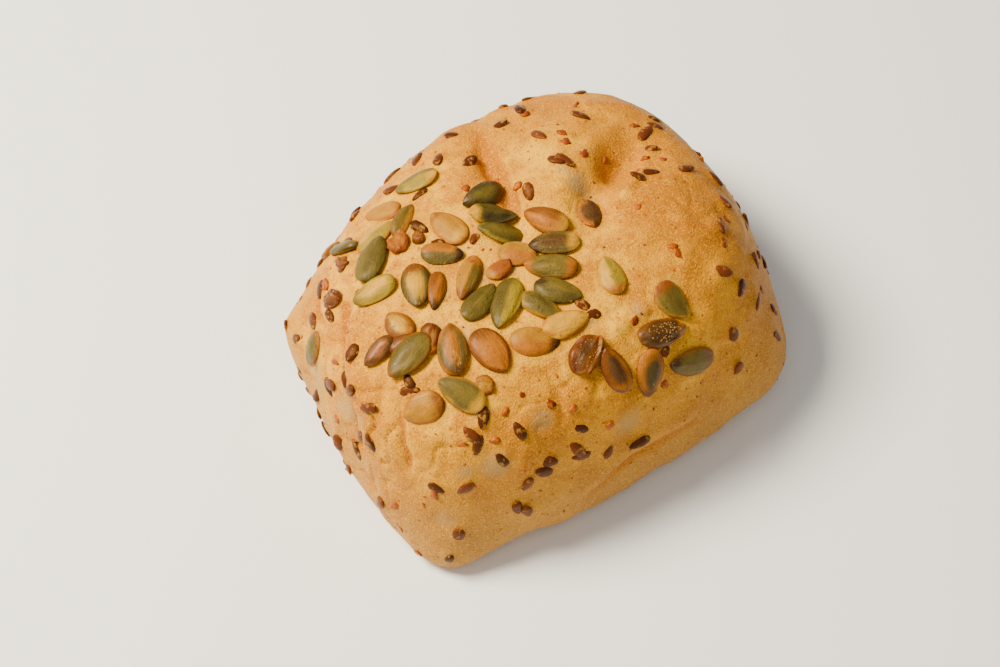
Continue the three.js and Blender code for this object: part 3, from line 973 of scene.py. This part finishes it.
def set_in_crust(bm, aim, size, taper, sunk, lumps, chance, facets):
    """A small ball drawn to size in mm, turned by chance and set at an aim with a share of it sunk."""
    place, normal = at_aim(crust_surface, *aim)
    tint = bm.verts.layers.float.get("tint") or bm.verts.layers.float.new("tint")
    made = bmesh.ops.create_icosphere(bm, subdivisions=facets, radius=1.0)
    own = Vector((chance.uniform(-9, 9), chance.uniform(-9, 9), chance.uniform(-9, 9)))
    shade = chance.random()
    for v in made["verts"]:
        x, y, z = v.co
        swell = 1 + lumps * noise.noise(v.co * 1.8 + own)
        v.co = Vector((x * size[0], y * size[1] * (1 - taper * x), z * size[2])) * (0.5 * swell * MM)
        v[tint] = shade
    turn = normal.to_track_quat("Z", "Y").to_matrix().to_4x4()
    spin = Matrix.Rotation(chance.uniform(0, 2 * math.pi), 4, "Z")
    tip = Matrix.Rotation(chance.gauss(0, 0.16), 4, "Y")
    depth = Vector((0, 0, size[2] * (0.5 - sunk) * MM))
    setting = Matrix.Translation(place) @ turn @ Matrix.Translation(depth) @ spin @ tip
    bmesh.ops.transform(bm, matrix=setting, verts=made["verts"])


# %% Set them
flax = bmesh.new()
for aim in flax_aims:
    size = (chance.uniform(4.4, 5.7), chance.uniform(2.5, 3.1), chance.uniform(1.1, 1.4))
    set_in_crust(flax, aim, size, 0.2, chance.uniform(0.5, 0.85), 0.1, chance, facets=2)
flax_seeds = add_piece("flax_seeds", flax, flax_hull())
flakes = bmesh.new()
for aim in flake_aims:
    size = (chance.uniform(1.6, 3.4), chance.uniform(1.2, 2.2), chance.uniform(0.6, 1.0))
    set_in_crust(flakes, aim, size, 0.1, chance.uniform(0.35, 0.65), 0.7, chance, facets=2)
pepper_flakes = add_piece("pepper_flakes", flakes, pepper_flake())
bran = bmesh.new()
for aim in bran_aims:
    size = (chance.uniform(0.5, 1.4), chance.uniform(0.4, 0.8), chance.uniform(0.25, 0.4))
    set_in_crust(bran, aim, size, 0.1, chance.uniform(0.4, 0.7), 0.5, chance, facets=1)
bran_specks = add_piece("bran_specks", bran, pepper_flake())
print("faces in all the flax seeds:", len(flax_seeds.data.polygons))

# %% [markdown]
# Two brown seeds carry crumbs of pale dough that dried on them, like coarse salt.

# %% Crumbs on two seeds
CRUMBS_ON = {"brown_seed_43": 24, "brown_seed_44": 70}


def dried_crumb():
    material, _, shader = new_material("dried_dough_crumb")
    shader.inputs["Base Color"].default_value = linear("#8e6420")
    shader.inputs["Roughness"].default_value = 0.6
    return material


crumbs = bmesh.new()
for node, count in CRUMBS_ON.items():
    place, half, turn = seed_places[node]
    top = surface_of(next(piece.data for piece in pumpkin_seeds if piece.name == "baked_" + node))
    for _ in range(count):
        reach, bearing = 0.75 * math.sqrt(chance.random()), chance.uniform(-math.pi, math.pi)
        above = Vector((reach * math.cos(bearing) * half[0], reach * math.sin(bearing) * half[1], 6 * MM))
        spot = top.ray_cast(place + turn @ above, turn @ Vector((0, 0, -1)))[0]
        if spot is not None:
            size = Vector([chance.uniform(0.08, 0.3) for _ in range(3)]) * MM
            roll = Matrix.Rotation(chance.uniform(0, 6.3), 3, (1, 1, 1)).to_quaternion()
            shape = Matrix.LocRotScale(spot, roll, size)
            bmesh.ops.create_icosphere(crumbs, subdivisions=1, radius=1.0, matrix=shape)
dough_crumbs = add_piece("dough_crumbs", crumbs, dried_crumb())

# %% [markdown]
# ## Table, light and camera
# A plain pale table and a soft key light from behind the roll's left shoulder, as a window gives,
# with a broad fill so that the near walls keep their colour. The camera looks down on one corner.

# %% Floor and lights
FLOOR_HALF = 3.0
LIT_POINT = Vector((0, 0, 0.02))
floor_bm = bmesh.new()
bmesh.ops.create_grid(floor_bm, x_segments=1, y_segments=1, size=FLOOR_HALF)
floor_mesh = bpy.data.meshes.new("table_top")
floor_bm.to_mesh(floor_mesh)
floor_bm.free()
table_paint, _, table_shader = new_material("pale_table_paint")
table_shader.inputs["Base Color"].default_value = linear("#f4f6fa")
table_shader.inputs["Roughness"].default_value = 0.8
floor_mesh.materials.append(table_paint)
table_top = bpy.data.objects.new("table_top", floor_mesh)
bpy.context.scene.collection.objects.link(table_top)


def soft_light(name, place, size, watts, colour):
    lamp = bpy.data.lights.new(name, "AREA")
    lamp.shape = "SQUARE"
    lamp.size = size
    lamp.energy = watts
    lamp.color = linear(colour)[:3]
    holder = bpy.data.objects.new(name, lamp)
    holder.location = place
    holder.rotation_euler = (LIT_POINT - Vector(place)).to_track_quat("-Z", "Y").to_euler()
    bpy.context.scene.collection.objects.link(holder)


soft_light("window", (-0.36, 0.26, 0.62), 0.3, 17.0, "#fff4d6")
soft_light("fill", (-0.2, -0.5, 0.7), 0.8, 2.0, "#fff4dc")
world = bpy.data.worlds.new("studio")
world.use_nodes = True
world.node_tree.nodes["Background"].inputs["Color"].default_value = linear("#ffffff")
world.node_tree.nodes["Background"].inputs["Strength"].default_value = 0.27
bpy.context.scene.world = world

# %% Camera
VIEW_AZIMUTH, VIEW_ELEVATION = math.radians(-30), math.radians(57)
VIEW_DISTANCE = 0.661
AIM_POINT = Vector((-0.01052, -0.00455, 0.0189))
backwards = Vector(
    (
        math.sin(VIEW_AZIMUTH) * math.cos(VIEW_ELEVATION),
        -math.cos(VIEW_AZIMUTH) * math.cos(VIEW_ELEVATION),
        math.sin(VIEW_ELEVATION),
    )
)
lens = bpy.data.cameras.new("camera")
lens.lens = 100
lens.sensor_width = 36
lens.clip_start = 0.01
camera = bpy.data.objects.new("camera", lens)
camera.location = AIM_POINT + backwards * VIEW_DISTANCE
camera.rotation_euler = (-backwards).to_track_quat("-Z", "Y").to_euler()
bpy.context.scene.collection.objects.link(camera)
bpy.context.scene.camera = camera
